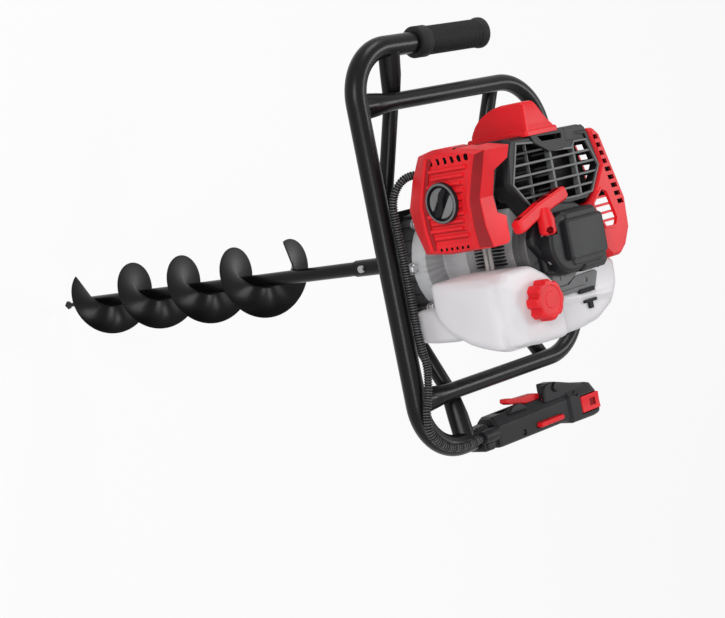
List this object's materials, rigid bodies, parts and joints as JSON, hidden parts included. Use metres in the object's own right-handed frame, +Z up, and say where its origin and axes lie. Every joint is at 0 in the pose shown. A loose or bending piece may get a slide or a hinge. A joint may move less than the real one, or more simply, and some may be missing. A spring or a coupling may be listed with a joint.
{
  "type": "earth auger",
  "caption": "Petrol earth auger: bent-tube frame with grips, engine and reduction gearbox in line, and a spiral soil auger pinned to the output shaft.",
  "frame": {"origin": "on the drive axis, in the middle of the round nose under the gearbox", "axes": "+Z up the drive axis from the auger's point to the engine; +Y from the main bar to the hoop's far side; +X towards the throttle grip"},
  "size_m": [0.5085, 0.3296, 1.0135],
  "materials": {
    "frame_paint": "gloss black",
    "auger_paint": "gloss black",
    "steel": "machined",
    "cast_alloy": "as cast",
    "gearbox_paint": "satin black",
    "grip_rubber": "moulded ribs",
    "fuel_hose": "smooth",
    "black_plastic": "fine texture",
    "red_plastic": "gloss",
    "white_plastic": "translucent",
    "pulley_plastic": "plain",
    "filter_foam": "open foam"
  },
  "bodies": {
    "frame": {"handlebar": "frame_paint", "hoop": "frame_paint", "hoop_sleeves": "frame_paint", "front_braces": "frame_paint", "rear_arms": "frame_paint", "mount_plate": "frame_paint", "plate_bolts": "steel", "gear_bearings": "steel", "crank_bearings": "steel", "spark_plug": "steel", "muffler": "steel", "recoil_spring": "steel", "tank_bracket": "steel", "clutch_housing": "cast_alloy", "crankcase_front": "cast_alloy", "crankcase_rear": "cast_alloy", "cylinder": "cast_alloy", "carburettor": "cast_alloy", "gearbox_base": "gearbox_paint", "gearbox_cover": "gearbox_paint", "foam_grip": "grip_rubber", "output_seal": "grip_rubber", "plug_cap": "grip_rubber", "fuel_lines": "fuel_hose", "throttle_shell_front": "black_plastic", "throttle_shell_back": "black_plastic", "throttle_conduit": "black_plastic", "engine_shroud": "black_plastic", "filter_base": "black_plastic", "starter_housing": "black_plastic", "ignition_coil": "black_plastic", "plug_cover": "red_plastic", "muffler_cover": "red_plastic", "filter_cover": "red_plastic", "fuel_tank": "white_plastic", "filter_element": "filter_foam"},
    "auger": {"output_gear": "steel", "output_shaft": "steel", "auger_tube": "auger_paint", "auger_flight": "auger_paint", "auger_point": "auger_paint", "coupling_bolt": "steel"},
    "idler": {"idler_gear": "steel"},
    "clutch_output": {"pinion_shaft": "steel", "clutch_drum": "steel"},
    "crank": {"crankshaft": "steel", "flywheel": "cast_alloy", "clutch_shoes": "steel"},
    "piston": {"piston": "cast_alloy", "connecting_rod": "steel"},
    "pulley": {"starter_pulley": "pulley_plastic"},
    "pull_handle": {"starter_handle": "red_plastic"},
    "trigger": {"throttle_trigger": "red_plastic"},
    "lock": {"throttle_lock": "red_plastic"},
    "switch": {"stop_switch": "red_plastic"},
    "cap": {"fuel_cap": "red_plastic"},
    "knob": {"filter_knob": "black_plastic"},
    "choke": {"choke_lever": "steel"}
  },
  "joints": [
    {"name": "auger_spin", "type": "hinge", "parent": "frame", "child": "auger", "pos_m": [0, 0, 0], "axis": [0, 0, 1], "continuous": true},
    {"name": "idler_spin", "type": "hinge", "parent": "frame", "child": "idler", "pos_m": [0, -0.0375, 0.045], "axis": [0, 0, 1], "continuous": true},
    {"name": "clutch_spin", "type": "hinge", "parent": "frame", "child": "clutch_output", "pos_m": [0, 0, 0.08], "axis": [0, 0, 1], "continuous": true},
    {"name": "crank_spin", "type": "hinge", "parent": "frame", "child": "crank", "pos_m": [0, 0, 0.147], "axis": [0, 0, 1], "continuous": true},
    {"name": "piston_slide", "type": "slide", "parent": "frame", "child": "piston", "axis": [-1, 0, 0], "range_m": [0, 0.032]},
    {"name": "starter_pull", "type": "slide", "parent": "frame", "child": "pull_handle", "axis": [-1, 0, 0], "range_m": [0, 0.04], "stiffness_N_per_m": 150},
    {"name": "pulley_spin", "type": "hinge", "parent": "frame", "child": "pulley", "pos_m": [0, 0, 0.213], "axis": [0, 0, 1], "range_deg": [-80, 0]},
    {"name": "trigger_pull", "type": "hinge", "parent": "frame", "child": "trigger", "pos_m": [0.194, 0.07, 0.065], "axis": [0, 0, 1], "range_deg": [0, 15], "stiffness_Nm_per_rad": 0.3},
    {"name": "lock_press", "type": "slide", "parent": "frame", "child": "lock", "axis": [0, 0, -1], "range_m": [0, 0.003], "stiffness_N_per_m": 600},
    {"name": "switch_rock", "type": "hinge", "parent": "frame", "child": "switch", "pos_m": [0.215, 0.15, 0.0798], "axis": [0, 1, 0], "range_deg": [-6, 6]},
    {"name": "cap_turn", "type": "hinge", "parent": "frame", "child": "cap", "pos_m": [0.054, -0.06, 0.22], "axis": [0, 0, 1], "range_deg": [0, 360]},
    {"name": "knob_turn", "type": "hinge", "parent": "frame", "child": "knob", "pos_m": [-0.072, -0.125, 0.163], "axis": [0, -1, 0], "range_deg": [0, 1080]},
    {"name": "choke_swing", "type": "hinge", "parent": "frame", "child": "choke", "pos_m": [-0.08, -0.064, 0.172], "axis": [0, 0, 1], "range_deg": [-45, 0]}
  ],
  "couplings": [
    {"joint": "idler_spin", "follows": "auger_spin", "ratio": -3.2857},
    {"joint": "clutch_spin", "follows": "auger_spin", "ratio": 14.316},
    {"joint": "pulley_spin", "follows": "starter_pull", "rad_per_m": -34.483}
  ]
}
